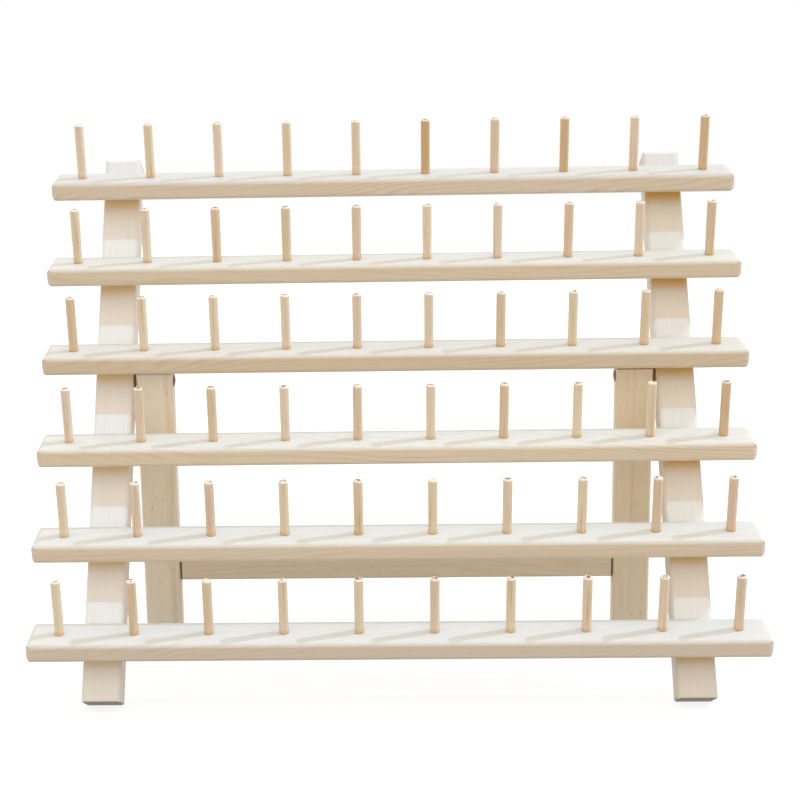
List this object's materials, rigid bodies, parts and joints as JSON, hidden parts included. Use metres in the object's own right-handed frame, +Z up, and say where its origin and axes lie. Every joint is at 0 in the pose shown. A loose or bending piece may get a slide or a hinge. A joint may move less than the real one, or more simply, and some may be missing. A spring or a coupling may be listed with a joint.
{
  "type": "thread spool rack",
  "caption": "Free-standing pine thread spool rack: rows of dowel pegs on tilted rails, two leaning posts and a folding rear stand.",
  "frame": {"origin": "middle of the bounding box, on the floor that the feet stand on", "axes": "+X to the right along the rails as seen from the front, +Y to the back, +Z up"},
  "size_m": [0.4, 0.1556, 0.3181],
  "materials": {
    "pine": "planed, bare",
    "peg_wood": "turned, bare",
    "steel": "blackened"
  },
  "bodies": {
    "rack": {"left_post": "pine", "right_post": "pine", "rail_1": "pine", "rail_2": "pine", "rail_3": "pine", "rail_4": "pine", "rail_5": "pine", "rail_6": "pine", "pegs_1": "peg_wood", "pegs_2": "peg_wood", "pegs_3": "peg_wood", "pegs_4": "peg_wood", "pegs_5": "peg_wood", "pegs_6": "peg_wood", "left_pivot_screw": "steel", "right_pivot_screw": "steel", "left_rail_screws": "steel", "right_rail_screws": "steel", "left_spacer_washer": "steel", "right_spacer_washer": "steel"},
    "stand": {"left_leg": "pine", "right_leg": "pine", "cross_bar": "pine", "cross_bar_screws": "steel"}
  },
  "joints": [
    {"name": "stand_fold", "type": "hinge", "parent": "rack", "child": "stand", "pos_m": [0, 0.01339, 0.16957], "axis": [-1, 0, 0], "range_deg": [0, 25]}
  ]
}
